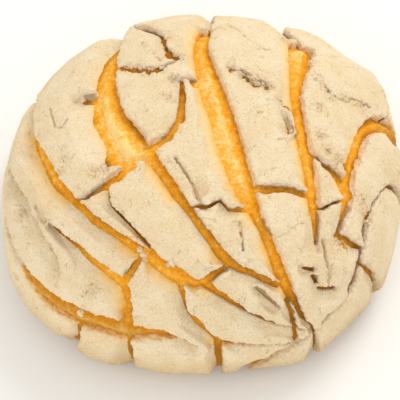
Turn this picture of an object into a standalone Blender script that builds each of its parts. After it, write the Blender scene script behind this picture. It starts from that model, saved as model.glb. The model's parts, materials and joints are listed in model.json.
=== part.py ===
"""Coconut concha: a round sweet bun under a sugar-paste crust stamped with a shell.

The bread is one closed dome with a small flat base. The crust is modelled flat, as the
paste is when it is laid on the dough: a round slab whose x and y are millimetres along
the surface of the bun, measured from its top. Ribs and cross cracks are cut out of the
slab, and what is left is wrapped over the dome, piece by piece. +X is right, -Y is the
front, where the ribs meet at the shell's hinge, and +Z is up.
"""

import math
import random

import bmesh
import bpy
import numpy as np
from mathutils import Vector, noise
from mathutils.geometry import delaunay_2d_cdt

MM = 0.001

# The bun, in millimetres.
RADIUS = 54.0            # of the bread, where it is widest
RISE = 39.0              # from there up to the top
TUCK = 11.5              # from there down to the base
BASE_SHARE = 0.80        # radius of the flat base, as a share of RADIUS
FULLNESS = 2.25          # 2 is an ellipse, more is a fuller shoulder
OVAL = 0.036             # share by which the plan is longer than a circle
OVAL_TURN = math.radians(20)
CORNERS = 0.028          # share by which the plan's four corners stand out
CORNERS_TURN = math.radians(37)
PLAN_REACH = 60.0        # from this far down the plan has its full unevenness

# The crust, in millimetres.
CRUST = 4.0              # thickness at the middle of a piece
CRUST_RIM = 82.0         # where it ends, measured over the surface from the top
RIM_WANDER = 1.3         # how far that edge wanders up and down
GAP = 0.35               # between bread and crust on the top
RIM_GAP = 0.75           # and where the crust ends, on the tight curve of the side
LIP_DROP = 0.7           # how much thinner a piece is along a crack
LIP_REACH = 3.2          # width of the slope that this makes
LIP_STEP = 1.5           # between the points of a crack that its lips are measured to
UNEVEN = 0.5             # slow rise and fall of the thickness
UNEVEN_SPACING = 14.0
WALL_SHARE = 0.72        # width of a crack at the bread, as a share of that at the top
LEAST_WIDTH = 0.5
RAGGED = 0.22            # how far a crack's walls jump in and out
CRACK_STEP = 4.4         # between the points of a crack's wall
CUTTER_TOP = 1.5         # height of a crack's cutter, as a share of CRUST
SCRAP_VOLUME = 30.0      # smaller crumbs of crust are dropped, in cubic millimetres
SEED = 11

# The mesh.
SECTORS = 54             # points round the rings outside the crown
CROWN_POINTS = 6         # points that each ring near the top has more than the last
RINGS = 16               # from the top to the edge of the crust
RING_STEP = CRUST_RIM / RINGS
PROFILE_SAMPLES = 1200
MERGE = 0.002            # points closer than this are joined after the cracks are cut
NUMBER_TURN = 24.0       # degrees round the hinge in which pieces are numbered outwards

# Ribs of the shell, from the rim of the bun to the hinge at (35, -56). Each point is
# (x, y, width of the crack) in millimetres on the slab.
RIBS = {
    "left": ((-69, 58, 1.4), (-58, 38, 0.8), (-52, 20, 0.7), (-51, 6, 3.6), (-44, -7, 3.6),
             (-36, -18, 2.6), (-26, -28, 2.3), (-17, -36, 3.2), (-8, -43.5, 4.6),
             (-2, -46, 3.4), (6, -41, 1.6)),
    "apex": ((-24, 33, 0.8), (-26, 24, 4.0), (-27, 11, 7.2), (-24, 0, 9.0), (-19, -8, 10.4),
             (-16.5, -13, 9.0)),
    "apex_back": ((-24, 31, 0.7), (-24, 44, 0.8), (-27, 58, 2.2), (-31, 86, 3.0)),
    "second": ((-15, -9, 4.2), (-9.5, -18.5, 3.0), (-4, -27, 2.9), (2, -35, 3.1),
               (6.5, -40, 3.2), (13, -42.5, 2.0), (21, -45, 1.8)),
    "centre": ((1, 35, 5.0), (-1, 27, 4.6), (1, 13, 7.2), (4, 2, 7.7), (7, -10, 7.8),
               (9.5, -18, 7.2), (11.5, -24, 5.0), (13.5, -28, 2.8), (17, -34, 3.2),
               (20.5, -41, 3.6), (24.5, -47, 2.6), (30, -53, 1.2), (35, -56, 0.7)),
    "centre_back": ((1, 34, 0.8), (3, 44, 0.6), (1, 60, 2.4), (-1, 87, 3.0)),
    "right": ((28, 31, 8.0), (25.8, 21, 6.2), (24.8, 15, 4.2), (24.4, 8, 3.4),
              (25.6, -1.5, 3.5), (28, -14, 3.8), (28.5, -22, 3.6), (29.5, -28, 2.0),
              (30, -33, 0.8)),
    "right_back": ((28, 29, 1.6), (24.5, 42, 0.9), (28, 58, 2.2), (34, 80, 2.8)),
    "far": ((84, 22, 2.0), (70, 17, 4.6), (58, 13.5, 5.2), (50, 9.5, 5.4), (44.5, 3, 4.4),
            (42.5, -4, 3.8), (40, -10, 3.3), (39, -16, 3.6), (39, -21, 3.2),
            (37.5, -25, 1.6), (36, -30, 1.0)),
    "third": ((-42, -24, 0.8), (-36, -29, 1.4), (-30, -36, 2.2), (-25, -41, 2.8),
              (-22.5, -44, 3.6), (-22, -50, 2.7), (-24, -56, 4.2)),
    "fourth": ((-1, -45.5, 2.8), (4, -48.5, 2.2), (13, -53, 1.5), (22, -56, 1.1),
               (31, -56, 0.8)),
    "fifth": ((5, -63, 3.0), (10, -63.5, 2.0), (17, -63.5, 1.5), (25, -62.5, 1.1),
              (31, -60, 0.9), (35, -56, 0.6)),
    "front": ((-55, -31, 1.4), (-53, -35, 3.8), (-49, -41, 6.0), (-43, -46.5, 6.6),
              (-37, -51, 6.8), (-31, -54, 6.4), (-25.5, -57, 7.0), (-20, -58.5, 5.6),
              (-15, -59.5, 3.8), (-9, -61.5, 2.4), (-1, -66, 0.6)),
    "fold": ((15, -91, 1.4), (19, -75, 1.4), (25, -69, 1.1), (30, -62, 0.9), (35, -56, 0.9),
             (40, -50, 0.9), (44.5, -44, 0.9), (46.5, -36, 1.0), (46, -27, 1.1),
             (49, -17, 0.9), (56, -9, 0.8), (65, -6, 1.0), (88, -4, 1.2)),
}

# Cracks that run across the ribs.
CROSS_CRACKS = {
    "left_back_gap": ((-54, 34, 0.8), (-66, 30, 1.0), (-84, 33, 1.6)),
    "left_band": ((-17.5, -13, 3.2), (-22, -16, 3.0), (-27, -18.5, 2.2), (-31, -20, 1.2),
                  (-34, -20.5, 0.7)),
    "left_sliver": ((-24.5, -16, 0.9), (-24, -23, 0.9), (-20, -28, 0.9), (-12.5, -38.5, 1.3)),
    "outer_left": ((-66, 8, 0.6), (-58, -5, 1.1), (-50, -16, 1.0), (-44, -26, 0.9),
                   (-39, -35, 0.8)),
    "band_end": ((-16, -36, 1.8), (-20, -41, 2.4), (-23, -44, 3.0)),
    "front_left_gap": ((-38, -51, 0.7), (-42, -57, 0.7), (-47, -60.5, 0.8), (-58, -73, 1.2)),
    "front_gap": ((-24, -58, 2.4), (-26, -65, 1.4), (-28, -73, 1.3), (-31, -88, 1.5)),
    "front_centre": ((-7, -44, 2.4), (-6, -51, 1.7), (-5, -54, 1.4), (-2, -57, 2.8),
                     (1, -60.5, 2.0), (5.5, -63, 3.2)),
    "front_right_gap": ((4, -62, 1.8), (6, -70, 0.9), (8, -90, 0.8)),
    "tongue_cross": ((-26, 19.5, 1.0), (-19, 18, 1.3), (-15.5, 16.5, 1.7), (-11, 16.5, 0.8),
                     (-6.5, 20, 0.9)),
    "tongue_top": ((-25, 49, 0.8), (-13, 34, 0.7), (-11, 26, 0.8), (-7, 19, 1.5)),
    "tongue_side": ((-6, 12, 1.4), (-6, 5, 2.2), (-6.5, -1, 2.8), (-9.5, -6.5, 3.0),
                    (-15, -9.5, 3.8)),
    "tongue_corner": ((0, 11, 2.2), (-3.5, 12, 2.2), (-7, 12, 1.2)),
    "plate_bottom": ((11, -20, 2.4), (16, -20.5, 2.4), (21, -19.5, 1.6), (27, -20.5, 1.6)),
    "spear_cross": ((-5, -26, 0.8), (1, -26, 0.9), (4, -24, 0.9), (6, -26.5, 1.3),
                    (11, -26, 1.8)),
    "shoulder_bottom": ((27, -8, 2.4), (31, -10.5, 1.2), (34, -12, 1.6), (36.5, -14, 2.6),
                        (39, -18, 2.8)),
    "sliver_cross": ((28, -21, 2.6), (31, -23.5, 1.6), (34, -21.5, 1.0), (39, -19, 1.0)),
    "right_slot": ((36, -29, 1.2), (40, -30, 1.7), (43, -31, 1.8), (47, -31, 1.0)),
    "hinge_left": ((23, -48, 1.0), (26, -52, 1.0), (28, -56, 1.0), (31, -62, 1.1)),
    "flap_split": ((35, -56, 0.8), (39, -61, 1.0), (46, -70, 1.2), (54, -80, 1.4)),
    "right_rim_gap": ((45.5, -35, 1.2), (52, -36.5, 1.4), (59, -38, 1.3), (76, -46, 1.5)),
    "back_left": ((-64, 44, 1.0), (-48, 54, 1.6), (-38, 64, 1.2), (-26, 60, 1.0)),
    "back_middle": ((-29, 66, 1.0), (-16, 60, 1.8), (-8, 66, 1.4), (2, 62, 1.0)),
    "back_right": ((-1, 70, 1.0), (12, 64, 1.4), (22, 70, 1.8), (32, 66, 1.0)),
    "shoulder_back": ((26, 52, 1.0), (40, 46, 1.6), (50, 34, 1.2), (56, 22, 1.0),
                      (53, 11, 1.2)),
    "right_side": ((52, 30, 1.0), (64, 38, 1.4), (80, 46, 1.8)),
}

# Slots that the stamp's knife left in the pieces near the hinge.
SLOTS = {
    "hinge_right": ((32.5, -44, 1.5), (35.5, -43.6, 1.7), (38.5, -43.2, 1.2)),
    "plate_low": ((26.5, -39, 1.2), (30.5, -39.2, 1.7)),
    "plate_corner": ((30, -40.5, 1.2), (32, -43, 1.2)),
}

# Grooves that don't reach the bread: (x, y, width), and their depth.
GROOVES = {
    "left_hollow": (1.9, ((-64, -15, 1.0), (-58, -26, 2.8), (-54, -32, 3.2))),
    "third_start": (1.6, ((-46, -18, 1.6), (-42, -24, 2.4))),
    "plate_cross": (2.2, ((5.5, 16, 0.9), (10.5, 14.3, 0.9), (13.5, 11.3, 1.5),
                          (15.5, 11.8, 0.9), (18, 9, 0.7), (20.5, 4, 0.7), (23, -4, 0.9))),
    "spear_wall": (1.8, ((-8, -12.5, 1.5), (-4.8, -17.4, 1.4), (-1, -25.5, 1.0))),
    "spear_low": (2.0, ((9, -29, 0.8), (10, -37, 0.9))),
    "sliver_left": (1.8, ((31, -31, 0.9), (33, -37, 0.9), (35, -43, 0.8))),
    "sliver_right": (1.6, ((33, -24, 0.8), (34, -33, 0.9), (35, -43, 0.7))),
    "wedge": (1.4, ((40, -32, 0.8), (39, -42, 0.8))),
    "leaf": (2.4, ((14, -45.5, 1.2), (18, -48, 1.3), (23, -51.5, 0.8))),
    "hinge": (1.4, ((27, -53, 0.7), (33, -56, 0.7))),
    "shoulder": (1.6, ((31, 14.5, 0.8), (33.5, 11, 1.3), (37.5, 10.6, 0.8), (41.5, 12.5, 0.9),
                       (47, 13, 1.7))),
    "right_crease": (1.4, ((57, 9, 0.8), (60, 0, 0.8), (60, -7, 0.8))),
    "left_notch": (2.4, ((-34, 12, 1.4), (-31, 11, 2.2), (-28, 11, 2.2))),
    "back_ridge": (1.8, ((-44, 62, 1.0), (-40, 70, 1.4), (-42, 84, 1.6))),
    "right_ridge": (1.8, ((56, -50, 1.0), (62, -58, 1.4))),
}

# Places where the crust has risen: (x, y, radius, height).
SWELLS = (
    (51, 29, 6, 3.2),
    (54, 19, 6, 1.0),
    (66, 0, 9, 1.0),
    (33, 42, 6, 1.0),
    (2, 56, 16, 0.8),
    (-57, 22, 14, 1.8),
    (-48, 0, 9, 0.6),
    (-65, 2, 12, 1.4),
    (-64, -40, 12, 1.0),
    (-44, -68, 12, 1.9),
    (-8, -78, 20, 0.9),
    (37, -66, 9, 2.2),
    (64, -36, 12, 1.2),
)


def meridian():
    """Distance over the surface, radius and height, from the top to the edge of the base."""
    upper = np.linspace(0, math.pi / 2, PROFILE_SAMPLES)
    lower = np.linspace(0, math.pi / 2, PROFILE_SAMPLES // 3)[1:]
    tuck_in = (1 - BASE_SHARE) * RADIUS
    power = 2 / FULLNESS
    radius = np.concatenate([RADIUS * np.sin(upper) ** power,
                             RADIUS - tuck_in * (1 - np.cos(lower))])
    height = np.concatenate([TUCK + RISE * np.abs(np.cos(upper)) ** power,
                             TUCK * (1 - np.sin(lower))])
    steps = np.hypot(np.diff(radius), np.diff(height))
    along = np.concatenate([[0], np.cumsum(steps)])
    return along, radius, height


ALONG, ACROSS, UP = meridian()
TO_BASE = float(ALONG[-1])


def plan_factor(turn, along):
    """How far the plan departs from a circle in this direction."""
    uneven = OVAL * math.cos(2 * (turn - OVAL_TURN))
    uneven += CORNERS * math.cos(4 * (turn - CORNERS_TURN))
    return 1 + uneven * min(1, along / PLAN_REACH)


def dome_point(x, y):
    """The point of the bread's surface under a point of the flat slab."""
    along = math.hypot(x, y)
    turn = math.atan2(y, x)
    radius = float(np.interp(along, ALONG, ACROSS)) * plan_factor(turn, along)
    height = float(np.interp(along, ALONG, UP))
    return Vector((radius * math.cos(turn), radius * math.sin(turn), height))


def dome_normal(x, y, reach=0.4):
    """The direction away from the bread at that point."""
    to_right = dome_point(x + reach, y) - dome_point(x - reach, y)
    to_back = dome_point(x, y + reach) - dome_point(x, y - reach)
    return to_right.cross(to_back).normalized()


def wrap(x, y, height):
    """A point of the flat slab laid over the dome, in metres."""
    return (dome_point(x, y) + dome_normal(x, y) * height) * MM


def slab_width(x, y, across, width):
    """Width to cut in the slab for a crack to have its true width once wrapped."""
    along = max(math.hypot(x, y), 1.0)
    squeeze = float(np.interp(along, ALONG, ACROSS)) / along
    outward = (across[0] * x + across[1] * y) / along
    sideways = (across[1] * x - across[0] * y) / along
    return width / math.hypot(outward, sideways * squeeze)


def smooth_path(points, step):
    """Points at about the given step on a smooth curve through (x, y, width) points."""
    known = np.array(points, float)
    known = np.vstack([2 * known[0] - known[1], known, 2 * known[-1] - known[-2]])
    path = []
    for a, b, c, d in zip(known, known[1:], known[2:], known[3:]):
        count = max(1, round(math.hypot(*(c - b)[:2]) / step))
        for t in np.arange(count) / count:
            bend = (c - a) * t + (2 * a - 5 * b + 4 * c - d) * t ** 2
            bend += (3 * b - a - 3 * c + d) * t ** 3
            path.append(b + bend / 2)
    path.append(known[-2])
    return np.array(path)


def add_cutter(name, points, floor, cutters, rng):
    """A wedge along the path, from the floor to above the crust and wider at the top."""
    path = smooth_path(points, CRACK_STEP)
    ahead = np.gradient(path[:, :2], axis=0)
    above = CRUST * CUTTER_TOP
    bm = bmesh.new()
    sections = []
    for (x, y, width), (dx, dy) in zip(path, ahead):
        length = math.hypot(dx, dy)
        across = (-dy / length, dx / length)
        half = slab_width(x, y, across, max(width, LEAST_WIDTH)) / 2
        jump = min(RAGGED, half / 3)
        sides = (half + rng.uniform(-jump, jump), -half + rng.uniform(-jump, jump))
        corners = []
        for height, share in ((floor, WALL_SHARE), (above, 1.0)):
            for side in sides:
                corners.append(bm.verts.new((x + across[0] * side * share,
                                             y + across[1] * side * share, height)))
        sections.append((corners[0], corners[1], corners[3], corners[2]))
    for near, far in zip(sections, sections[1:]):
        for i in range(4):
            j = (i + 1) % 4
            bm.faces.new((near[i], near[j], far[j], far[i]))
    bm.faces.new(sections[0])
    bm.faces.new(sections[-1])
    bmesh.ops.recalc_face_normals(bm, faces=bm.faces)
    mesh = bpy.data.meshes.new(name)
    bm.to_mesh(mesh)
    bm.free()
    cutter = bpy.data.objects.new(name, mesh)
    cutter.hide_render = True
    cutter.display_type = "WIRE"
    cutters.objects.link(cutter)


def rim_distance(turn):
    """Where the crust ends in this direction, over the surface from the top."""
    wander = 0.6 * math.sin(3 * turn + 0.6) + 0.4 * math.sin(7 * turn + 2.0)
    return CRUST_RIM + RIM_WANDER * wander


def ring_disc(distances):
    """A flat disc of rings of points, more on wider rings, joined by triangles."""
    points = [Vector((0, 0))]
    for number, radius in enumerate(distances, start=1):
        count = min(CROWN_POINTS * number, SECTORS)
        for i in range(count):
            turn = 2 * math.pi * (i + number % 2 / 2) / count
            points.append(Vector((radius * math.cos(turn), radius * math.sin(turn))))
    places, _, triangles, *_ = delaunay_2d_cdt(points, [], [], 0, 0.001)
    bm = bmesh.new()
    verts = [bm.verts.new((place.x, place.y, 0)) for place in places]
    for triangle in triangles:
        bm.faces.new([verts[i] for i in triangle])
    return bm


def make_slab(collection):
    """The uncracked crust, flat, with an edge that wanders up and down."""
    bm = ring_disc([RING_STEP * number for number in range(1, RINGS + 1)])
    inner = CRUST_RIM - 2 * RING_STEP
    for vert in bm.verts:
        along = vert.co.length
        if along > inner + RING_STEP / 2:
            turn = math.atan2(vert.co.y, vert.co.x)
            stretch = (rim_distance(turn) - inner) / (CRUST_RIM - inner)
            vert.co *= (inner + (along - inner) * stretch) / along
    raised = bmesh.ops.extrude_face_region(bm, geom=bm.faces[:])
    upper = [item for item in raised["geom"] if isinstance(item, bmesh.types.BMVert)]
    bmesh.ops.translate(bm, verts=upper, vec=(0, 0, CRUST))
    bmesh.ops.recalc_face_normals(bm, faces=bm.faces)
    mesh = bpy.data.meshes.new("slab")
    bm.to_mesh(mesh)
    bm.free()
    slab = bpy.data.objects.new("slab", mesh)
    collection.objects.link(slab)
    return slab


def lip_samples():
    """Centre points of every crack and groove with half their width, for the lips."""
    rows = []
    for group in (RIBS, CROSS_CRACKS, SLOTS):
        for points in group.values():
            for x, y, width in smooth_path(points, LIP_STEP):
                rows.append((x, y, width / 2, 1.0))
    for depth, points in GROOVES.values():
        for x, y, width in smooth_path(points, LIP_STEP):
            rows.append((x, y, width / 2, depth / CRUST))
    return np.array(rows)


def crust_gap(x, y):
    """Clearance between bread and crust."""
    share = (math.hypot(x, y) - PLAN_REACH) / (CRUST_RIM - PLAN_REACH)
    return GAP + (RIM_GAP - GAP) * min(1, max(0, share))


def crust_height(x, y, samples):
    """Thickness of the crust here: full inside a piece, less along its edges."""
    turn = math.atan2(y, x)
    to_lips = np.hypot(samples[:, 0] - x, samples[:, 1] - y) - samples[:, 2]
    near = np.clip(1 - to_lips / LIP_REACH, 0, 1) ** 2 * samples[:, 3]
    to_rim = rim_distance(turn) - math.hypot(x, y)
    near_rim = min(1, max(0, 1 - to_rim / LIP_REACH)) ** 2
    height = CRUST - LIP_DROP * max(float(near.max()), near_rim)
    height += UNEVEN * noise.noise(Vector((x, y, SEED)) / UNEVEN_SPACING)
    for swell_x, swell_y, radius, rise in SWELLS:
        away = math.hypot(x - swell_x, y - swell_y) / radius
        height += rise * math.exp(-away ** 2)
    return height


def cut_crust(slab, cutters):
    """Subtract every crack and groove from the slab and return the result's bmesh."""
    rng = random.Random(SEED)
    for group in (RIBS, CROSS_CRACKS, SLOTS):
        for name, points in group.items():
            add_cutter(name, points, -CRUST / 2, cutters, rng)
    for name, (depth, points) in GROOVES.items():
        add_cutter(name, points, CRUST - depth, cutters, rng)
    cut = slab.modifiers.new("cracks", "BOOLEAN")
    cut.operation = "DIFFERENCE"
    cut.operand_type = "COLLECTION"
    cut.collection = cutters
    cut.solver = "EXACT"
    cut.use_self = True
    graph = bpy.context.evaluated_depsgraph_get()
    bm = bmesh.new()
    bm.from_object(slab, graph)
    bmesh.ops.remove_doubles(bm, verts=bm.verts, dist=MERGE)
    bmesh.ops.dissolve_degenerate(bm, edges=bm.edges, dist=MERGE)
    bmesh.ops.triangulate(bm, faces=bm.faces)
    return bm


def islands(bm):
    """The connected pieces of a bmesh, each as a list of faces."""
    seen = set()
    found = []
    for first in bm.faces:
        if first in seen:
            continue
        seen.add(first)
        piece = [first]
        for face in piece:
            for edge in face.edges:
                new = [other for other in edge.link_faces if other not in seen]
                seen.update(new)
                piece.extend(new)
        found.append(piece)
    return found


def piece_mesh(name, faces, samples):
    """One piece of crust wrapped over the dome."""
    bm = bmesh.new()
    copies = {}
    for face in sorted(faces, key=lambda item: item.index):
        for vert in face.verts:
            if vert not in copies:
                x, y, height = vert.co
                height *= crust_height(x, y, samples) / CRUST
                copies[vert] = bm.verts.new(wrap(x, y, crust_gap(x, y) + height))
        bm.faces.new([copies[vert] for vert in face.verts])
    bmesh.ops.recalc_face_normals(bm, faces=bm.faces)
    mesh = bpy.data.meshes.new(name)
    bm.to_mesh(mesh)
    bm.free()
    return mesh


def flat_volume(faces):
    """Volume of a piece in the slab, by summing its tetrahedra to the origin."""
    total = 0.0
    for face in faces:
        a, b, c = (vert.co for vert in face.verts)
        total += a.dot(b.cross(c)) / 6
    return abs(total)


def piece_order(faces):
    """Sorts pieces by their direction from the hinge, then by their distance."""
    centre = Vector((0, 0, 0))
    for face in faces:
        centre += face.calc_center_median()
    centre /= len(faces)
    hinge_x, hinge_y, _ = RIBS["centre"][-1]
    turn = math.degrees(math.atan2(centre.y - hinge_y, hinge_x - centre.x)) % 360
    return round(turn / NUMBER_TURN), round(math.hypot(centre.x - hinge_x, centre.y - hinge_y), 2)


def make_material(name, colour, roughness):
    """A plain material with the finish of one layer of the bun."""
    material = bpy.data.materials.new(name)
    material.use_nodes = True
    shader = material.node_tree.nodes["Principled BSDF"]
    shader.inputs["Base Color"].default_value = colour
    shader.inputs["Roughness"].default_value = roughness
    shader.inputs["Metallic"].default_value = 0.0
    return material


def make_bread(collection):
    """The bun itself: the same dome down to its flat base."""
    rings = int(TO_BASE / RING_STEP)
    bm = ring_disc([RING_STEP * number for number in range(1, rings)] + [TO_BASE])
    for vert in bm.verts:
        along = vert.co.length
        place = dome_point(vert.co.x, vert.co.y)
        if along > TO_BASE - 0.01:
            place.z = 0
        vert.co = place * MM
    rim = [edge for edge in bm.edges if edge.is_boundary]
    bmesh.ops.contextual_create(bm, geom=rim)
    bmesh.ops.recalc_face_normals(bm, faces=bm.faces)
    mesh = bpy.data.meshes.new("bun")
    bm.to_mesh(mesh)
    bm.free()
    mesh.shade_smooth()
    mesh.set_sharp_from_angle(angle=math.radians(50))
    bun = bpy.data.objects.new("bun", mesh)
    collection.objects.link(bun)
    mesh.materials.append(make_material("bread", (0.90, 0.56, 0.16, 1), 0.6))


def make_crust(collection, cutters):
    """Every piece of the cracked crust, as its own object."""
    slab = make_slab(collection)
    bm = cut_crust(slab, cutters)
    bpy.data.objects.remove(slab, do_unlink=True)
    bm.faces.index_update()
    samples = lip_samples()
    paste = make_material("sugar_paste", (0.88, 0.76, 0.52, 1), 0.85)
    pieces = [faces for faces in islands(bm) if flat_volume(faces) > SCRAP_VOLUME]
    for number, faces in enumerate(sorted(pieces, key=piece_order), start=1):
        name = f"crust_{number:02d}"
        mesh = piece_mesh(name, faces, samples)
        mesh.shade_smooth()
        mesh.set_sharp_from_angle(angle=math.radians(40))
        mesh.materials.append(paste)
        collection.objects.link(bpy.data.objects.new(name, mesh))
    bm.free()


def main():
    """Clear the scene and model the concha."""
    for thing in list(bpy.data.objects):
        bpy.data.objects.remove(thing, do_unlink=True)
    concha = bpy.data.collections.new("coconut_concha")
    cutters = bpy.data.collections.new("cutters")
    bpy.context.scene.collection.children.link(concha)
    bpy.context.scene.collection.children.link(cutters)
    make_bread(concha)
    make_crust(concha, cutters)


main()
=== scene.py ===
"""The finish of a coconut concha: a golden bun under a cracked crust of baked sugar paste.

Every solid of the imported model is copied, given a fine skin with crumbly edges, fissures
and grain, and shown in the solid's place. Lengths below are in millimetres.
"""

import json
import math
import random
from functools import partial

import bmesh
import bpy
import numpy as np
from bpy.props import FloatProperty, FloatVectorProperty, IntProperty, PointerProperty
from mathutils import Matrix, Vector, noise
from mathutils.bvhtree import BVHTree
from mathutils.kdtree import KDTree

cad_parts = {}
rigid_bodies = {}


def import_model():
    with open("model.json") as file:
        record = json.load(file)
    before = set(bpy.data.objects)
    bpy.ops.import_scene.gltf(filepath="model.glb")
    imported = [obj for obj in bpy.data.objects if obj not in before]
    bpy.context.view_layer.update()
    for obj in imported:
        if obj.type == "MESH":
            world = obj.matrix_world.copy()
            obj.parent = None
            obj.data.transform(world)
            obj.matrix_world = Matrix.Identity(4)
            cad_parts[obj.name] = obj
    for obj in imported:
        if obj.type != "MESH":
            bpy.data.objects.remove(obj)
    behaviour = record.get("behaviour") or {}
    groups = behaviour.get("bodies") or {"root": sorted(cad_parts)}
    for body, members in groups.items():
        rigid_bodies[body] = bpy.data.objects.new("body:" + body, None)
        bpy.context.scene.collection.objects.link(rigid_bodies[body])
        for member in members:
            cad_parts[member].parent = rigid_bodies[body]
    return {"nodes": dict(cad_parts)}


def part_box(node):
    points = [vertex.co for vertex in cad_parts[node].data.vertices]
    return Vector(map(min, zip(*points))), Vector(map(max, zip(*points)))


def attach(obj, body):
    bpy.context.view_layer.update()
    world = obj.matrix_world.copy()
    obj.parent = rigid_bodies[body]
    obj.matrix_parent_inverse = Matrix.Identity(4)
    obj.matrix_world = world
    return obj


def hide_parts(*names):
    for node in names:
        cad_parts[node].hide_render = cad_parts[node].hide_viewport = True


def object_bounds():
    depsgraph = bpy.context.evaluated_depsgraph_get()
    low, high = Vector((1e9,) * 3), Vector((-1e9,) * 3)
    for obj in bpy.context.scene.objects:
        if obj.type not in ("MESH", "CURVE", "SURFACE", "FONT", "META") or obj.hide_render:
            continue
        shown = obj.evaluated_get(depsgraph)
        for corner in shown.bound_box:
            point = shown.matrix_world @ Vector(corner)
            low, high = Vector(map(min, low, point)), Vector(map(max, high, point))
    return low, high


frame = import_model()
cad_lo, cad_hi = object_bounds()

bl_info = {
    "name": "Coconut concha",
    "version": (1, 0, 0),
    "blender": (4, 5, 0),
    "location": "View3D > Sidebar > Concha",
    "description": "Finishes the bread, the sugar-paste crust and the crumbs of a concha",
    "category": "Object",
}

MM = 0.001
BUN = "bun"
CRUST = sorted(name for name in frame["nodes"] if name.startswith("crust_"))

# Fissures in the tops of the pieces: their depth, and (x, y) points in plan.
FISSURES = {
    "leaf_slit": (1.6, ((8.9, -30.9), (9.1, -33.0), (9.3, -34.6), (9.6, -36.2))),
    "middle_plate": (0.9, ((-0.9, -10.4), (0.4, -10.0), (1.5, -10.8), (2.8, -11.5))),
    "middle_edge": (0.7, ((-14.4, -18.6), (-12.6, -20.4), (-11.0, -21.0))),
    "middle_low": (0.5, ((-3.2, -19.7), (-1.4, -18.6))),
    "left_plate_scratch": (0.7, ((-38.5, -11.0), (-36.8, -10.4))),
    "left_plate_nick": (0.7, ((-36.0, -9.4), (-34.4, -7.4))),
    "left_plate_edge": (0.9, ((-29.1, -14.8), (-27.8, -13.9), (-25.6, -14.0), (-23.5, -13.5))),
    "left_plate_top": (0.9, ((-38.8, 23.7), (-35.3, 20.1), (-35.2, 16.5), (-35.4, 13.1))),
    "left_plate_vee": (1.0, ((-43.6, 10.0), (-42.5, 6.0), (-41.4, 2.2), (-39.6, 1.1),
                             (-37.6, 4.2), (-37.5, 7.1))),
    "tongue_line": (0.6, ((-23.3, 16.2), (-21.3, 16.4), (-18.5, 15.6))),
    "long_plate_upper": (0.9, ((6.7, 37.4), (9.5, 33.8), (11.7, 29.6), (14.4, 26.9),
                               (16.9, 24.5), (18.3, 24.8))),
    "long_plate_middle": (1.0, ((14.1, 0.9), (16.0, 1.1), (17.3, 0.0), (18.9, -1.1),
                                (20.8, -0.9))),
    "long_plate_low": (0.8, ((19.5, -6.9), (21.2, -6.4), (22.0, -5.7))),
    "long_plate_tick": (0.7, ((15.6, 3.0), (16.6, 3.7))),
    "leaf_low": (0.7, ((-15.1, -22.0), (-14.9, -24.4), (-14.3, -25.9))),
    "spear": (0.7, ((-4.5, -36.7), (-2.9, -35.9))),
    "front_nick": (0.6, ((-19.5, -37.0), (-17.6, -36.0), (-16.9, -36.8))),
    "band_nick": (1.0, ((-32.6, -43.3), (-30.8, -42.6), (-30.0, -41.9))),
    "band_scratch": (0.6, ((-42.9, -20.1), (-41.8, -19.4))),
    "band_pit": (1.0, ((-50.6, -14.9), (-49.4, -16.1))),
    "right_plate_tick": (0.7, ((24.6, -28.9), (26.2, -28.7), (26.8, -29.6), (27.4, -28.9))),
    "right_plate_scratch": (0.5, ((23.0, -26.9), (23.9, -26.8))),
    "hinge_left": (0.6, ((23.4, -48.1), (24.5, -48.5), (26.3, -48.9))),
    "hinge_right": (0.6, ((32.7, -43.7), (34.6, -43.9))),
}

# Rows of patches where the paste has broken up: their radius, and (x, y) in plan.
BROKEN_PATCHES = {
    "tongue_crack": (1.8, ((-22.6, 18.9), (-19.7, 18.3), (-16.3, 16.5), (-13.0, 16.4))),
    "top_crack": (1.5, ((-17.5, 27.0), (-14.6, 23.5), (-12.4, 20.2))),
    "tongue_side": (1.9, ((-10.8, 29.4), (-9.8, 22.7), (-7.0, 20.7), (-9.0, 12.3),
                          (-10.0, 6.0))),
    "left_plate_foot": (2.2, ((-28.9, -14.6), (-26.2, -13.9), (-24.1, -12.0))),
    "left_plate": (1.3, ((-38.0, -8.8), (-39.0, -12.0))),
    "long_plate_crack": (1.6, ((7.1, 15.9), (9.6, 14.5), (11.5, 13.9), (14.4, 12.0),
                               (17.1, 10.1), (19.7, 6.3), (21.0, 4.1))),
    "long_plate_side": (1.8, ((23.2, -3.0),)),
    "shoulder_side": (2.1, ((30.0, 23.5), (31.3, 17.0), (33.3, 13.0), (34.8, 10.2),
                            (31.1, 5.5), (31.4, -3.5), (32.9, -7.6), (36.2, -9.6))),
    "shoulder_crack": (2.0, ((39.1, 11.9), (41.8, 11.7), (44.8, 11.5))),
    "right_side": (2.0, ((39.3, -16.9), (42.2, -18.4), (44.0, -21.4), (35.6, -29.8))),
    "left_band": (2.3, ((-50.8, -18.1), (-30.0, -42.3))),
}

# Lumps of paste that were pushed up beside the cracks: (x, y) in plan, and their radius.
LUMPS = (
    (-17.2, -34.7, 0.9),
    (-16.2, -35.9, 1.1),
    (-15.5, -36.9, 0.8),
    (-33.6, -45.0, 1.0),
    (-32.4, -45.0, 0.7),
    (-9.7, -38.3, 0.8),
    (-8.6, -38.9, 1.1),
    (-7.6, -38.6, 0.8),
)

# The side of every piece that faces the back right runs down towards the bread: how much
# of its thickness is gone at that edge, and how wide the slope is.
USUAL_SLOPE = (0.45, 4.5)
SLOPES = {
    "crust_05": (0.75, 5.5),
    "crust_09": (0.80, 9.0),
    "crust_07": (0.65, 6.0),
    "crust_06": (0.60, 5.0),
    "crust_03": (0.60, 5.0),
    "crust_13": (0.50, 6.0),
    "crust_26": (0.65, 5.0),
    "crust_27": (0.50, 4.0),
}
BACK_RIGHT = np.array((0.83, 0.55, 0.1))

# Pieces whose skin has larger faces than the others', so that no piece has too many.
COARSER = {"crust_05": 1.1}

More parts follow.
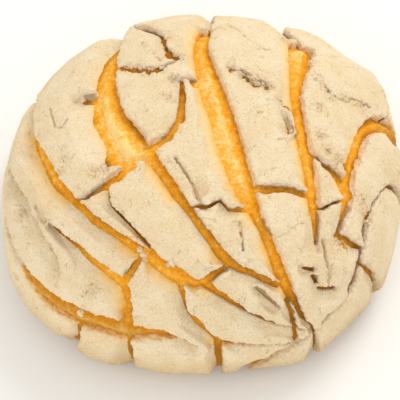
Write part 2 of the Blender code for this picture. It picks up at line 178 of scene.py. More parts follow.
# Short fissures that run in from the edges: how many for each vertex of a broken side,
# and how deep.
SHORT_FISSURES = 0.006
SHORT_DEPTH = 0.16

# The pattern of torn fibres in the bread: a fibre's width, and its length along a crack.
FIBRE_WIDTH = 0.8
FIBRE_LENGTH = 4.0


def linear(code):
    """An sRGB hex colour as linear red, green, blue and alpha."""
    channels = [int(code[i:i + 2], 16) / 255 for i in (1, 3, 5)]
    curve = [c / 12.92 if c <= 0.04045 else ((c + 0.055) / 1.055) ** 2.4 for c in channels]
    return (*curve, 1.0)


def length(name, description, default):
    """A length property, given in millimetres."""
    return FloatProperty(name=name, description=description, default=default * MM,
                         unit="LENGTH", precision=5)


def colour(name, description, code):
    """A colour property, given as sRGB hex."""
    return FloatVectorProperty(name=name, description=description, default=linear(code),
                               size=4, subtype="COLOR", min=0, max=1)


class ConchaPaste(bpy.types.PropertyGroup):
    """Sizes and colours of the sugar-paste crust."""

    voxel: length("Skin detail", "Size of the faces of the fine skin", 0.31)
    ragged: length("Ragged edge", "How far a broken edge wanders in and out", 0.34)
    ragged_spacing: length("Edge bites", "Width of the bites in a broken edge", 1.0)
    rubble: length("Rubble", "Height of the crumbs in a broken patch", 0.60)
    relief: length("Relief", "Slow rise and fall of the tops", 0.20)
    relief_spacing: length("Relief spacing", "Distance between the rises", 6.5)
    lumps: length("Lumpiness", "Height of the small lumps on the tops", 0.06)
    lump_spacing: length("Lump spacing", "Distance between the small lumps", 1.8)
    grain: length("Grain", "Height of the sugar grains", 0.07)
    grain_spacing: length("Grain size", "Width of a sugar grain", 0.6)
    fissure_width: length("Fissure width", "Half width of a fissure", 0.20)
    cream: colour("Cream", "The paste where it stayed palest", "#efddba")
    butter: colour("Butter", "The paste where the oven warmed it", "#e9d0a5")
    broken: colour("Broken side", "The inside of the paste, where it broke", "#f1e2cb")
    warmed: colour("Warmed edge", "Paste that took a little colour from the bread", "#f7d698")
    soaked: colour("Soaked edge", "Paste that took up fat and colour from it", "#f4b64a")
    # Painted shade: the gold turns to this low on the side, where the paste lies in shade.
    browned: colour("Browned edge", "The same low on the side, nearer the heat", "#d3962e")
    # Painted shade at the bottoms of grooves, fissures and hairlines.
    shadow: colour("Fissure", "The bottom of a fissure", "#9a7440")
    # Painted shade towards the base, along with the browning by the hot tray.
    baked_and_shaded: colour("Baked rim", "The paste low on the side, nearest the hot tray", "#caa873")


class ConchaBread(bpy.types.PropertyGroup):
    """Sizes and colours of the bread."""

    voxel: length("Skin detail", "Size of the faces of the fine skin", 0.62)
    swell: length("Swell", "How far the bread rises against the walls of the cracks", 1.2)
    bulge: length("Bulge", "How much further it rises in the middle of a wide crack", 1.9)
    bulge_reach: length("Bulge reach", "Distance from the crust at which it has", 4.0)
    low_bulge: length("Low bulge", "How much further it rises low on the side", 2.4)
    crumbled: length("Crumbled cracks", "How much further it rises in broken-up cracks", 1.7)
    fibre: length("Fibres", "Height of the torn fibres", 0.12)
    fibre_spacing: length("Fibre width", "Distance between the fibres", 0.8)
    pale: colour("Pale", "Bread in the middle of a wide opening", "#fcda8e")
    golden: colour("Golden", "Bread between the middle and the edge", "#fab234")
    amber: colour("Amber", "Bread beside the crust", "#ee9c14")
    # Also the painted shade of narrow cracks and the painted shadow under the crust's walls.
    brown: colour("Brown", "Bread deep in a thin crack and round the base", "#a0660e")


class ConchaCrumbs(bpy.types.PropertyGroup):
    """Loose crumbs of paste."""

    count: IntProperty(name="Crumbs", description="Number of loose crumbs", default=160)
    smallest: length("Smallest", "Radius of the smallest crumb", 0.12)
    largest: length("Largest", "Radius of the largest crumb", 0.30)
    seed: IntProperty(name="Seed", description="Changes where the crumbs lie", default=7)


class ConchaStage(bpy.types.PropertyGroup):
    """The floor, the lights and the camera."""

    floor: colour("Floor", "A plain pale sheet", "#f7f6f3")
    sky: FloatProperty(name="Ambient", description="Strength of the even light", default=0.84)
    key: FloatProperty(name="Key light", description="Power of the soft box", default=2.25,
                       unit="POWER")
    fill: FloatProperty(name="Fill light", description="Power of the weak front light",
                        default=1.2, unit="POWER")
    lens: FloatProperty(name="Lens", description="Focal length in millimetres", default=100.0)
    distance: length("Distance", "From the camera to the middle of the view", 318.0)
    elevation: FloatProperty(name="Elevation", description="Angle above the horizon",
                             default=math.radians(60), subtype="ANGLE")


# Reading and writing meshes, in millimetres.

def places_of(mesh):
    """The place of every vertex."""
    flat = np.empty(len(mesh.vertices) * 3, np.float32)
    mesh.vertices.foreach_get("co", flat)
    return flat.reshape(-1, 3).astype(float) / MM


def normals_of(mesh):
    """The normal of every vertex."""
    flat = np.empty(len(mesh.vertices) * 3, np.float32)
    mesh.vertex_normals.foreach_get("vector", flat)
    return flat.reshape(-1, 3).astype(float)


def edges_of(mesh):
    """The two vertices of every edge."""
    flat = np.empty(len(mesh.edges) * 2, np.int32)
    mesh.edges.foreach_get("vertices", flat)
    return flat.reshape(-1, 2)


def set_places(mesh, places):
    """Moves every vertex to its new place."""
    mesh.vertices.foreach_set("co", (places * MM).astype(np.float32).ravel())
    mesh.update()


def set_attribute(mesh, name, values):
    """Stores a number for every vertex, for the materials to read."""
    attribute = mesh.attributes.new(name, "FLOAT", "POINT")
    attribute.data.foreach_set("value", np.asarray(values, np.float32))


def read_attribute(mesh, name):
    """The numbers that set_attribute stored."""
    values = np.empty(len(mesh.vertices), np.float32)
    mesh.attributes[name].data.foreach_get("value", values)
    return values


# Measuring and shaping.

def share_of(values, start, end):
    """0 up to start, 1 from end, and an even rise between them."""
    return np.clip((values - start) / (end - start), 0, 1)


def ramp(values, start, end):
    """0 up to start, 1 from end, and a smooth rise between them."""
    share = share_of(values, start, end)
    return share * share * (3 - 2 * share)


def waves(places, spacing, seed):
    """Smooth noise between -1 and 1, with its bumps about spacing apart."""
    scaled = places / spacing + np.array((7.3, 3.1, 5.7)) * seed
    return np.array([noise.noise(place) for place in scaled.tolist()])


def crumbs(places, spacing, seed):
    """Noise with rounded tops and sharp valleys, about as high as low."""
    return 3.2 * np.abs(waves(places, spacing, seed)) - 1.0


def averaged(values, edges, weights, rounds):
    """Values that each round draws towards the mean of their neighbours."""
    size = len(values)
    count = np.bincount(edges.ravel(), minlength=size)[:, None]
    first, second = edges.T
    for _ in range(rounds):
        total = np.empty_like(values)
        for axis in range(values.shape[1]):
            column = values[:, axis]
            total[:, axis] = np.bincount(first, column[second], size)
            total[:, axis] += np.bincount(second, column[first], size)
        values = values + (total / count - values) * weights[:, None]
    return values


def blurred(values, edges, rounds):
    """A number for every vertex, drawn half way to its neighbours' mean each round."""
    half = np.full(len(values), 0.5)
    return averaged(values[:, None], edges, half, rounds)[:, 0]


def spread(values, edges, loss, rounds):
    """Values that each take the greatest of their neighbours', less a loss, each round."""
    first, second = edges.T
    for _ in range(rounds):
        wider = values.copy()
        np.maximum.at(wider, first, values[second] - loss)
        np.maximum.at(wider, second, values[first] - loss)
        values = wider
    return values


def outward_from_bun(places):
    """Directions away from the middle of an ellipsoid of the bun's size."""
    low, high = (np.array(corner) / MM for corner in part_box(BUN))
    middle = (low + high) / 2
    middle[2] = 0.23 * high[2]
    half = high - middle
    away = (places - middle) / half ** 2
    return away / np.linalg.norm(away, axis=1)[:, None]


def search_tree(*meshes):
    """A tree that finds the nearest point of some meshes' surface."""
    bm = bmesh.new()
    for mesh in meshes:
        bm.from_mesh(mesh)
    bmesh.ops.scale(bm, vec=(1 / MM, 1 / MM, 1 / MM), verts=bm.verts)
    tree = BVHTree.FromBMesh(bm)
    bm.free()
    return tree


def distances(tree, places):
    """How far every place is from a tree's surface."""
    return np.array([tree.find_nearest(place)[3] for place in places.tolist()])


def directions(tree, places):
    """The direction from every place to the nearest point of a tree's surface."""
    nearest = np.array([tree.find_nearest(place)[0] for place in places.tolist()])
    ahead = nearest - places
    return ahead / np.maximum(np.linalg.norm(ahead, axis=1), 1e-6)[:, None]


def nearest_of(places, some, outward):
    """For every place, the nearest of some places, and how far it is across outward."""
    tree = KDTree(len(some))
    for number, place in enumerate(some.tolist()):
        tree.insert(place, number)
    tree.balance()
    which = np.array([tree.find(place)[1] for place in places.tolist()])
    gap = places - some[which]
    upright = (gap * outward).sum(axis=1)
    return which, np.sqrt(np.maximum((gap ** 2).sum(axis=1) - upright ** 2, 0))


def dropped(tree, x, y):
    """The point that a plumb line at (x, y) meets first, and the surface's normal there."""
    top = cad_hi[2] / MM + 10
    place, normal, _, _ = tree.ray_cast((x, y, top), (0, 0, -1))
    if place is None:
        raise RuntimeError(f"nothing lies under ({x}, {y})")
    return np.array(place), np.array(normal)


def to_path(places, path):
    """How far every place is from a path of straight stretches."""
    nearest = np.full(len(places), np.inf)
    for start, end in zip(path, path[1:]):
        ahead = end - start
        share = np.clip(((places - start) @ ahead) / (ahead @ ahead), 0, 1)
        gap = places - start - share[:, None] * ahead
        nearest = np.minimum(nearest, np.linalg.norm(gap, axis=1))
    return nearest


def crumbling_at(places):
    """How broken up the paste is at every place, from 0 to 1."""
    crumbling = np.zeros(len(places))
    for radius, points in BROKEN_PATCHES.values():
        for x, y in points:
            away = np.linalg.norm(places[:, :2] - (x, y), axis=1) / radius
            crumbling = np.maximum(crumbling, np.exp(-away ** 2))
    return crumbling


def solid(node):
    """The mesh of a CAD node."""
    return frame["nodes"][node].data


# Making pieces.

def new_piece(name, bm):
    """A smooth-shaded object with a bmesh's shape, in the row frame."""
    mesh = bpy.data.meshes.new(name)
    bm.to_mesh(mesh)
    bm.free()
    mesh.shade_smooth()
    piece = bpy.data.objects.new(name, mesh)
    bpy.context.scene.collection.objects.link(piece)
    return piece


def fine_copy(node, name, voxel):
    """A copy of a CAD node with small, even faces."""
    bm = bmesh.new()
    bm.from_mesh(solid(node))
    bmesh.ops.remove_doubles(bm, verts=bm.verts, dist=0.001 * MM)
    piece = new_piece(name, bm)
    remesh = piece.modifiers.new("fine skin", "REMESH")
    remesh.mode = "VOXEL"
    remesh.voxel_size = voxel
    remesh.use_smooth_shade = True
    graph = bpy.context.evaluated_depsgraph_get()
    coarse = piece.data
    piece.data = bpy.data.meshes.new_from_object(piece.evaluated_get(graph))
    piece.modifiers.clear()
    bpy.data.meshes.remove(coarse)
    piece.data.name = name
    return piece


def finish_piece(piece, material, slot, *nodes):
    """Gives a piece its material and its body, and hides the CAD nodes it stands for."""
    piece.data.materials.clear()
    piece.data.materials.append(material)
    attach(piece, "root")
    if nodes:
        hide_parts(*nodes)


def edge_fissures(places, normals, rng, count):
    """Short cracks that run in from a broken edge, each a path across the top."""
    paths = []
    if len(places) == 0:
        return paths
    for _ in range(count):
        start = rng.randrange(len(places))
        inward = -normals[start]
        reach = rng.uniform(1.0, 3.6)
        turn = np.array([rng.uniform(-0.35, 0.35) for _ in range(3)])
        middle = places[start] + (inward + turn) * reach * 0.5
        paths.append([places[start], middle, middle + (inward - turn) * reach * 0.5])
    return paths


def fissure_depths(places, normals, steep, rise, look, tree, rng):
    """How deep the named fissures, and short ones from the broken edges, go at every place."""
    depth = np.zeros(len(places))
    wander = 0.45 * waves(places, 1.3, 8)
    width = look.fissure_width / MM
    for deep, points in FISSURES.values():
        path = [dropped(tree, x, y)[0] for x, y in points]
        away = np.abs(to_path(places, path) + wander)
        depth = np.maximum(depth, 0.45 * deep * np.exp(-(away / width) ** 2))
    count = int(steep.sum() * SHORT_FISSURES)
    high = steep & (rise > 2.6)
    for path in edge_fissures(places[high], normals[high], rng, count):
        away = np.abs(to_path(places, path) + wander)
        depth = np.maximum(depth, SHORT_DEPTH * np.exp(-(away / (width * 0.8)) ** 2))
    return depth


def store_paste_colours(mesh, height, from_open, broken, lit, crumbling):
    """Stores how far the bread has coloured the paste, and where its inside shows."""
    lowness = share_of(height, 30, 4)
    # Steep sides low down take the gold far up, where it is browned as painted shade.
    soak = from_open - 2.4 * lit - 1.2 * lit * broken - 6.0 * broken * lowness
    dull = (0.8 - 0.55 * lit) * (0.1 + 0.9 * share_of(height, 12, 30))
    side = share_of(broken, 0.15, 0.75) * dull
    set_attribute(mesh, "soak", soak)
    set_attribute(mesh, "side", side)
    set_attribute(mesh, "pitted", crumbling + 0.45 * side)


def without_facets(places, edges, top, rise, to_edge):
    """Smooths the CAD solid's facets out of the tops, and rounds low pieces further."""
    lowness = 1 - ramp(places[:, 2], 16, 40)
    weights = 0.5 * top * ramp(to_edge, 0.7 - 0.5 * lowness, 2.6)
    places = averaged(places, edges, weights, 90)
    return averaged(places, edges, 0.5 * lowness * ramp(rise, 0.8, 1.6), 10)


def side_beside(mesh, places, outward, edges, broken):
    """How far every place is from a broken side, and how much that faces the back right."""
    which, to_side = nearest_of(places, places[broken], outward)
    facing = (normals_of(mesh)[broken] @ BACK_RIGHT)[which]
    return to_side, ramp(blurred(facing, edges, 24), 0.1, 0.6)


def roughness(places, look, edge, crumbling):
    """How far every place moves: bites in the edges, rubble, slow relief, lumps and grain."""
    spacing = look.ragged_spacing / MM
    bites = waves(places, spacing, 1) + 1.2 * waves(places, spacing * 2.6, 10)
    bites += 0.7 * waves(places, spacing * 0.5, 2)
    rubble = crumbs(places, spacing * 1.3, 11) + 0.7 * waves(places, spacing * 0.6, 12)
    moved = look.ragged / MM * bites * edge + look.rubble / MM * rubble * crumbling
    moved += look.relief / MM * waves(places, look.relief_spacing / MM, 3)
    moved += look.lumps / MM * waves(places, look.lump_spacing / MM, 4)
    moved += look.grain / MM * waves(places, look.grain_spacing / MM, 6)
    return moved


def shape_paste(piece, node, look, trees, rng):
    """Rounds, breaks and grains the skin of a crust piece, and stores its attributes."""
    mesh = piece.data
    edges = edges_of(mesh)
    places = averaged(places_of(mesh), edges, np.full(len(mesh.vertices), 0.5), 3)
    set_places(mesh, places)
    outward = outward_from_bun(places)
    upward = (normals_of(mesh) * outward).sum(axis=1)
    rise = distances(trees["solid bread"], places)
    steep = (upward < 0.62) & (rise > 0.8)
    top = ramp(upward, 0.2, 0.6)
    _, to_edge = nearest_of(places, places[steep], outward)
    places = without_facets(places, edges, top, rise, to_edge)

    # The side that faces the back right thins out towards the bread.
    to_side, lit = side_beside(mesh, places, outward, edges, steep & (rise < 2.4))
    patchy = 1 + 0.6 * waves(places, 6.0, 5)
    share, reach = SLOPES.get(node, USUAL_SLOPE)
    slope = 1 - ramp(to_side, -0.5, reach * patchy)
    thinner = share * lit * slope * ramp(rise, 0.5, 1.2)
    places = places - outward * (rise * thinner)[:, None]

    # Crumbs fill the broken patches and the narrow cracks, and the skin is roughened.
    set_places(mesh, places)
    normals = normals_of(mesh)
    crumbling = crumbling_at(places)
    _, from_open = nearest_of(places, trees["open bread"], np.zeros_like(places))
    inner = ramp(from_open, 1.2, 2.4) * ramp(places[:, 2], 8, 14)
    groove = (1 - ramp(rise, 1.8, 3.2)) * inner
    fill = np.maximum(0.45 * inner, crumbling)
    filled = fill * np.clip(3.4 - rise, 0, 3) * top
    places = places + outward * filled[:, None]
    edge = (1 - ramp(to_edge, 0.3, 1.6)) * (1 - 0.8 * lit)
    moved = roughness(places, look, edge, crumbling) * ramp(upward, -0.5, -0.1)
    places = places + normals * moved[:, None]

    # Fissures: the named ones, and short ones that run in from the edges.
    depth = fissure_depths(places, normals, steep, rise, look, trees["outside"], rng)
    depth = depth * ramp(upward, 0.3, 0.7) * ramp(waves(places, 1.6, 9), -0.55, 0.15)
    places = places - outward * depth[:, None]
    set_places(mesh, places)

    steepness = 1 - ramp((normals_of(mesh) * outward_from_bun(places)).sum(axis=1), 0.25, 0.8)
    broken = blurred(steepness, edges, 3)
    store_paste_colours(mesh, places[:, 2], from_open, broken, lit, crumbling)
    # Where the material paints shade into the bottoms of grooves.
    set_attribute(mesh, "groove", 0.7 * share_of(groove * (1 - 0.6 * crumbling), 0.3, 1.0))
    set_attribute(mesh, "fissure", np.clip(depth / 0.6, 0, 1))


def shape_bread(piece, look, crust):
    """Swells the bread into the openings, tears its fibres and stores its attributes."""
    mesh = piece.data
    edges = edges_of(mesh)
    places = averaged(places_of(mesh), edges, np.full(len(mesh.vertices), 0.5), 40)
    places[:, 2] = np.maximum(places[:, 2], 0)
    near = distances(crust, places)
    beside = directions(crust, places) @ BACK_RIGHT
    outward = outward_from_bun(places)
    lowness = 1 - ramp(places[:, 2], 14, 34)
    lift = look.swell / MM + look.bulge / MM * ramp(near, 0.2, look.bulge_reach / MM)
    lift += look.low_bulge / MM * lowness * (0.5 + 0.5 * ramp(near, 0.4, 2.0))
    spacing = look.fibre_spacing / MM
    along = np.column_stack((near / spacing, places[:, :2] / (spacing * 5)))
    fibres = look.fibre / MM * waves(along, 1.0, 2) * ramp(near, 0.3, 1.2)
    pores = 0.20 * waves(places, 1.2, 3) + 0.28 * waves(places, 2.6, 4)
    width = blurred(spread(near, edges, 0.19, 19), edges, 6)
    lift += look.crumbled / MM * crumbling_at(places) * (1 - ramp(width, 1.0, 1.8))
    moved = (lift + fibres + pores * ramp(near, 0.2, 1.4)) * ramp(places[:, 2], 3, 9)
    set_places(mesh, places + outward * moved[:, None])
    set_attribute(mesh, "near", near)
    set_attribute(mesh, "width", width)
    lit = ramp(-beside, -0.3, 0.5)
    lit = np.where(near > 0.8, lit, spread(lit * (near > 0.8), edges, 0.04, 8))
    lit = blurred(lit, edges, 6)
    # Near the crust and away from the key light, the material paints a shadow.
    set_attribute(mesh, "beside", near + 1.2 * lit)
    # Painted light: bread beside the walls that face the key light is made paler.
    set_attribute(mesh, "open_and_lit", 0.5 * near + 1.2 * lit + 0.6 * (lit + 1) * width)


def open_bread(mesh):
    """The places of the bread that no crust covers."""
    places = places_of(mesh)
    return places[(read_attribute(mesh, "near") > 1.2) & (places[:, 2] > 12)]


# Materials.

def set_inputs(node, inputs):
    """Gives a node's inputs their values, or links them to other nodes' outputs."""
    for key, value in inputs.items():
        if isinstance(value, bpy.types.NodeSocket):
            node.id_data.links.new(value, node.inputs[key])
        else:
            node.inputs[key].default_value = value


def add_node(tree, kind, inputs=None, output=0, **settings):
    """Adds a shader node with its settings and links, and gives one of its outputs."""
    node = tree.nodes.new("ShaderNode" + kind)
    for key, value in settings.items():
        setattr(node, key, value)
    set_inputs(node, inputs or {})
    return node.outputs[output]


def new_material(name):
    """A plain material, its shader, and what adds nodes to its tree."""
    material = bpy.data.materials.new(name)
    material.use_nodes = True
    tree = material.node_tree
    return material, tree.nodes["Principled BSDF"], partial(add_node, tree)


def per(millimetres):
    """The scale that makes a texture repeat about every so many millimetres."""
    return 1 / (millimetres * MM)


def layered(add, skin, layers):
    """A colour under others, each from none of it at its start to its share at its end."""
    for value, start, end, most, tone in layers:
        share = add("MapRange", {"Value": value, "From Min": start, "From Max": end,
                                 "To Max": most})
        skin = add("Mix", {0: share, 6: skin, 7: tone}, 2, data_type="RGBA")
    return skin


def hairlines(add, place):
    """Thin broken lines from 0 to 1, like the cracks of a paste that dried."""
    bend = add("TexNoise", {"Vector": place, "Scale": per(3.0)}, "Color")
    centred = add("VectorMath", {0: bend, 1: (0.5,) * 3}, operation="SUBTRACT")
    bent = add("VectorMath", {0: centred, 1: (3.4 * MM,) * 3, 2: place},
               operation="MULTIPLY_ADD")
    edge = add("TexVoronoi", {"Vector": bent, "Scale": per(5.5)}, "Distance",
               feature="DISTANCE_TO_EDGE")
    line = add("MapRange", {"Value": edge, "From Min": 0.026, "From Max": 0.006})
    patches = add("TexNoise", {"Vector": place, "Scale": per(3.2), "Roughness": 0.6})
    some = add("MapRange", {"Value": patches, "From Min": 0.53, "From Max": 0.62})
    return add("Math", {0: line, 1: some}, operation="MULTIPLY")


def paste_material(look):
    """Baked sugar paste: sugar, fat and flour, dried on the dough in the oven.

    Its skin is matt and sandy, and its colour wanders between cream and butter. Broken
    sides show a duller inside with brown grains, and thin edges have soaked up gold from
    the bread. Low on the side it is darker and its gold browner: painted shade.
    """
    material, shader, add = new_material("baked sugar paste")
    place = add("TexCoord", output="Object")
    height = add("SeparateXYZ", {0: place}, "Z")

    # Slow blotches, sugar grains, and the brown pits of the broken places.
    blotches = add("TexNoise", {"Vector": place, "Scale": per(9), "Detail": 3.0,
                                "Roughness": 0.6})
    grains = add("TexNoise", {"Vector": place, "Scale": per(0.5), "Roughness": 0.7})
    holes = add("TexNoise", {"Vector": place, "Scale": per(0.7), "Detail": 3.0,
                             "Roughness": 0.75})
    hole = add("MapRange", {"Value": holes, "From Min": 0.48, "From Max": 0.38,
                            "To Max": 0.9})
    pitted = add("Attribute", output="Fac", attribute_name="pitted")
    pit = add("Math", {0: hole, 1: pitted}, operation="MULTIPLY")

    # The gold of the bread, with an uneven border, and browner low on the side: painted shade.
    uneven = add("TexNoise", {"Vector": place, "Scale": per(1.5), "Detail": 3.0,
                              "Roughness": 0.65})
    soak = add("Attribute", output="Fac", attribute_name="soak")
    soak = add("Math", {0: uneven, 1: -2.6, 2: soak}, operation="MULTIPLY_ADD")
    gold = layered(add, tuple(look.soaked), (
        (height, 30 * MM, 4 * MM, 1.0, tuple(look.browned)),))

    # Painted shade: the dark bottoms of grooves, fissures and hairlines.
    lines = hairlines(add, place)
    fissure = add("Attribute", output="Fac", attribute_name="fissure")
    drawn = add("Math", {0: lines, 1: 0.5, 2: fissure}, operation="MULTIPLY_ADD")
    shadow = tuple(look.shadow)
    skin = layered(add, tuple(look.cream), (
        (blotches, 0.35, 0.65, 1.0, tuple(look.butter)),
        # Darker towards the base: painted shade, along with the browning by the tray.
        (height, 18 * MM, 5 * MM, 1.0, tuple(look.baked_and_shaded)),
        (grains, 0.54, 0.68, 0.5, linear("#f8efd4")),
        (grains, 0.46, 0.30, 0.6, linear("#cfae78")),
        (add("Attribute", output="Fac", attribute_name="side"), 0.0, 1.0, 1.0,
         tuple(look.broken)),
        (pit, 0.0, 1.0, 1.0, linear("#c08a48")),
        (soak, 1.6, -1.2, 1.0, tuple(look.warmed)),
        (soak, -0.4, -3.0, 1.0, gold),
        (add("Attribute", output="Fac", attribute_name="groove"), 0.0, 1.0, 1.0, shadow),
        (drawn, 0.1, 1.0, 0.75, shadow)))

    lumps = add("TexNoise", {"Vector": place, "Scale": per(1.9), "Detail": 3.0,
                             "Roughness": 0.65})
    relief = add("Math", {0: grains, 1: lumps}, operation="ADD")
    relief = add("Math", {0: lines, 1: -0.4, 2: relief}, operation="MULTIPLY_ADD")
    normal = add("Bump", {"Height": relief, "Strength": 0.9, "Distance": 0.36 * MM})
    set_inputs(shader, {"Base Color": skin, "Normal": normal, "Roughness": 0.92,
                        "Specular IOR Level": 0.25, "Subsurface Weight": 0.08,
                        "Subsurface Radius": (1.0, 0.65, 0.35),
                        "Subsurface Scale": 0.8 * MM})
    return material


def bread_material(look):
    """Sweet egg bread: the dough's skin, torn open by the oven and browned.

    It is pale yellow where it tore open last and amber beside the crust, with torn fibres
    that follow the cracks. It has the faint sheen of egg and butter. Painted light makes
    it paler beside the walls that face the key light, and painted shade browns it in
    their lee and in narrow cracks.
    """
    material, shader, add = new_material("sweet egg bread")
    place = add("TexCoord", output="Object")
    along, across, height = add("SeparateXYZ", {0: place}).node.outputs
    near = add("Attribute", output="Fac", attribute_name="near")
    width = add("Attribute", output="Fac", attribute_name="width")

    # Fibres lie beside the crust's edge, so their pattern is fine away from it.
    fine = add("Math", {0: near, 1: 1 / FIBRE_WIDTH}, operation="MULTIPLY")
    long = [add("Math", {0: each, 1: per(FIBRE_LENGTH)}, operation="MULTIPLY")
            for each in (along, across)]
    grid = add("CombineXYZ", {"X": fine, "Y": long[0], "Z": long[1]})
    fibre = add("TexNoise", {"Vector": grid, "Scale": 1.0, "Detail": 4.0, "Roughness": 0.7})
    mottle = add("TexNoise", {"Vector": place, "Scale": per(2.2), "Detail": 4.0,
                              "Roughness": 0.8})
    pores = add("TexNoise", {"Vector": place, "Scale": per(0.7), "Detail": 3.0,
                             "Roughness": 0.75})

    # From amber through golden to pale as the bread lies further open, and paler beside
    # the walls that face the key light: painted light.
    open_and_lit = add("Attribute", output="Fac", attribute_name="open_and_lit")
    for texture, weight in ((fibre, 3.0), (mottle, 12.0), (pores, 8.0)):
        open_and_lit = add("Math", {0: texture, 1: weight, 2: open_and_lit}, operation="MULTIPLY_ADD")
    shade = add("MapRange", {"Value": open_and_lit, "From Min": 12.4, "From Max": 17.6})
    tones = add("ValToRGB", {"Fac": shade})
    stops = tones.node.color_ramp.elements
    stops[0].color = tuple(look.amber)
    stops[1].color = tuple(look.pale)
    stops.new(0.45).color = tuple(look.golden)

    # Brown low on the side; painted shade in narrow cracks, and painted shadow under the
    # walls that shade the bread.
    beside = add("Attribute", output="Fac", attribute_name="beside")
    beside = add("Math", {0: mottle, 1: 0.9, 2: beside}, operation="MULTIPLY_ADD")
    narrow = add("Math", {0: mottle, 1: 0.8, 2: width}, operation="MULTIPLY_ADD")
    brown = tuple(look.brown)
    skin = layered(add, tones, ((height, 36 * MM, 14 * MM, 0.85, brown),
                                (narrow, 1.5, 0.9, 0.5, brown),
                                (beside, 2.0, 1.0, 0.8, brown)))

    relief = add("Math", {0: fibre, 1: 1.2, 2: pores}, operation="MULTIPLY_ADD")
    relief = add("Math", {0: mottle, 1: 1.5, 2: relief}, operation="MULTIPLY_ADD")
    normal = add("Bump", {"Height": relief, "Strength": 0.7, "Distance": 0.28 * MM})
    set_inputs(shader, {"Base Color": skin, "Normal": normal, "Roughness": 0.7,
                        "Specular IOR Level": 0.12, "Subsurface Weight": 0.15,
                        "Subsurface Radius": (1.0, 0.5, 0.15),
                        "Subsurface Scale": 1.0 * MM})
    return material


def floor_material(look):
    """A plain matt sheet of paper."""
    material, shader, add = new_material("matt paper")
    place = add("TexCoord", output="Object")
    cloud = add("TexNoise", {"Vector": place, "Scale": per(300)})
    tone = layered(add, tuple(look.floor), ((cloud, 0.3, 0.7, 0.15, linear("#efeeea")),))
    set_inputs(shader, {"Base Color": tone, "Roughness": 0.9, "Specular IOR Level": 0.1})
    return material


# Operators.

class CONCHA_OT_bread(bpy.types.Operator):
    """Makes the bread that shows through the cracks"""

    bl_idname = "concha.bread"
    bl_label = "Bread"

    def execute(self, context):
        look = context.scene.concha_bread
        piece = fine_copy(BUN, "sweet_bread", look.voxel)
        shape_bread(piece, look, search_tree(*map(solid, CRUST)))
        finish_piece(piece, bread_material(look), "bread", BUN)
        return {"FINISHED"}


class CONCHA_OT_paste(bpy.types.Operator):
    """Makes every piece of the cracked sugar-paste crust"""

    bl_idname = "concha.paste"
    bl_label = "Sugar-paste crust"

    def execute(self, context):
        look = context.scene.concha_paste
        material = paste_material(look)
        trees = {"solid bread": search_tree(solid(BUN)),
                 "open bread": open_bread(bpy.data.objects["sweet_bread"].data),
                 "outside": search_tree(*map(solid, (BUN, *CRUST)))}
        rng = random.Random(3)
        for node in CRUST:
            voxel = look.voxel * COARSER.get(node, 1)
            piece = fine_copy(node, node.replace("crust", "paste"), voxel)
            shape_paste(piece, node, look, trees, rng)
            finish_piece(piece, material, "sugar_paste", node)
        return {"FINISHED"}


class CONCHA_OT_crumbs(bpy.types.Operator):
    """Makes the lumps beside the cracks and the loose crumbs"""

    bl_idname = "concha.crumbs"
    bl_label = "Crumbs"

    def execute(self, context):
        look = context.scene.concha_crumbs
        rng = random.Random(look.seed)
        surface = search_tree(*[piece.data for piece in bpy.data.objects
                                if piece.name.startswith(("paste_", "sweet_"))])
        bm = bmesh.new()
        for x, y, radius in LUMPS:
            place, normal = dropped(surface, x, y)
            self.add_crumb(bm, place - normal * radius * 0.35, radius, 3, rng)
        reach = (cad_hi - cad_lo) / 2 / MM
        for _ in range(look.count):
            turn = rng.uniform(0, 2 * math.pi)
            away = math.sqrt(rng.random()) * 0.9
            place, normal = dropped(surface, reach.x * away * math.cos(turn),
                                    reach.y * away * math.sin(turn))
            size = look.smallest + (look.largest - look.smallest) * rng.random() ** 3
            self.add_crumb(bm, place, size / MM, 1, rng)
        piece = new_piece("paste_crumbs", bm)
        mesh = piece.data
        count = len(mesh.vertices)
        far = np.full(count, 4.0)
        some = np.full(count, 0.3)
        store_paste_colours(mesh, places_of(mesh)[:, 2], far, some, 0.5, some)
        set_attribute(mesh, "groove", np.zeros(count))
        set_attribute(mesh, "fissure", np.zeros(count))
        finish_piece(piece, bpy.data.materials["baked sugar paste"], "sugar_paste")
        return {"FINISHED"}

    def add_crumb(self, bm, place, radius, detail, rng):
        """One rough ball of paste."""
        made = bmesh.ops.create_icosphere(bm, subdivisions=detail, radius=radius * MM)
        verts = made["verts"]
        shift = Vector((rng.uniform(-9, 9), rng.uniform(-9, 9), rng.uniform(-9, 9)))
        for vert in verts:
            bumps = noise.noise(vert.co / MM / radius * 1.3 + shift)
            vert.co *= 1 + 0.45 * bumps
        bmesh.ops.translate(bm, verts=verts, vec=place * MM)


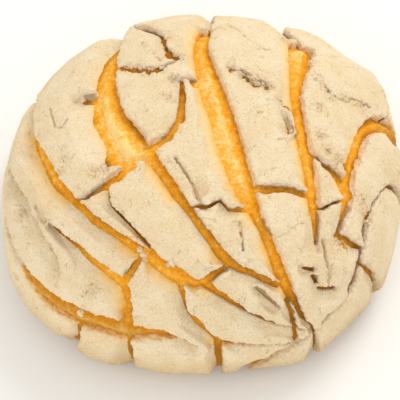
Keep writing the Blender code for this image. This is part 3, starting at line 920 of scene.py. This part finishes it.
class CONCHA_OT_stage(bpy.types.Operator):
    """Makes the floor, the lights and the camera"""

    bl_idname = "concha.stage"
    bl_label = "Stage"

    def execute(self, context):
        look = context.scene.concha_stage
        bm = bmesh.new()
        bmesh.ops.create_grid(bm, x_segments=1, y_segments=1, size=4.0)
        bmesh.ops.translate(bm, verts=bm.verts, vec=(0, 0, cad_lo[2]))
        floor = new_piece("floor", bm)
        floor.data.materials.append(floor_material(look))
        self.add_light("key", (0.30, 0.42, 0.62), 0.34, look.key, (1.0, 0.98, 0.95))
        self.add_light("fill", (-0.30, -0.60, 0.40), 0.60, look.fill, (1.0, 0.99, 0.97))
        self.add_sky(look)
        self.add_camera(look)
        context.scene.view_settings.view_transform = "Standard"
        return {"FINISHED"}

    def add_light(self, name, place, size, power, tint):
        """A square soft box that points at the bun."""
        light = bpy.data.lights.new(name, "AREA")
        light.shape = "SQUARE"
        light.size = size
        light.energy = power
        light.color = tint
        lamp = bpy.data.objects.new(name, light)
        lamp.location = place
        lamp.rotation_euler = (-Vector(place)).to_track_quat("-Z", "Y").to_euler()
        bpy.context.scene.collection.objects.link(lamp)

    def add_sky(self, look):
        """Even light from all round."""
        world = bpy.data.worlds.new("studio")
        world.use_nodes = True
        background = world.node_tree.nodes["Background"]
        background.inputs["Color"].default_value = (1.0, 0.985, 0.965, 1.0)
        background.inputs["Strength"].default_value = look.sky
        bpy.context.scene.world = world

    def add_camera(self, look):
        """A camera in front of the bun, looking down at it."""
        target = Vector((-1.4, -9.1, 24.0)) * MM
        back = Vector((0, -math.cos(look.elevation), math.sin(look.elevation)))
        data = bpy.data.cameras.new("camera")
        data.lens = look.lens
        data.sensor_width = 36.0
        data.clip_start = 0.01
        camera = bpy.data.objects.new("camera", data)
        camera.location = target + back * look.distance
        camera.rotation_euler = (-back).to_track_quat("-Z", "Y").to_euler()
        bpy.context.scene.collection.objects.link(camera)
        bpy.context.scene.camera = camera


class CONCHA_PT_panel(bpy.types.Panel):
    """Lists the parts of the concha and their settings"""

    bl_idname = "CONCHA_PT_panel"
    bl_label = "Concha"
    bl_space_type = "VIEW_3D"
    bl_region_type = "UI"
    bl_category = "Concha"

    def draw(self, context):
        groups = (("concha.bread", "concha_bread"), ("concha.paste", "concha_paste"),
                  ("concha.crumbs", "concha_crumbs"), ("concha.stage", "concha_stage"))
        for operator, group in groups:
            box = self.layout.box()
            box.operator(operator)
            settings = getattr(context.scene, group)
            for name in settings.bl_rna.properties.keys():
                if name not in ("rna_type", "name"):
                    box.prop(settings, name)


GROUPS = {
    "concha_bread": ConchaBread,
    "concha_paste": ConchaPaste,
    "concha_crumbs": ConchaCrumbs,
    "concha_stage": ConchaStage,
}
CLASSES = (*GROUPS.values(), CONCHA_OT_bread, CONCHA_OT_paste, CONCHA_OT_crumbs,
           CONCHA_OT_stage, CONCHA_PT_panel)


def register():
    """Adds the classes, and the settings to the scene."""
    for each in CLASSES:
        bpy.utils.register_class(each)
    for name, group in GROUPS.items():
        setattr(bpy.types.Scene, name, PointerProperty(type=group))


def unregister():
    """Takes them out again."""
    for name in GROUPS:
        delattr(bpy.types.Scene, name)
    for each in reversed(CLASSES):
        bpy.utils.unregister_class(each)


def main():
    """Makes the concha and its stage."""
    register()
    bpy.ops.concha.stage()
    bpy.ops.concha.bread()
    bpy.ops.concha.paste()
    bpy.ops.concha.crumbs()
    bpy.context.view_layer.update()


if __name__ == "__main__":
    main()
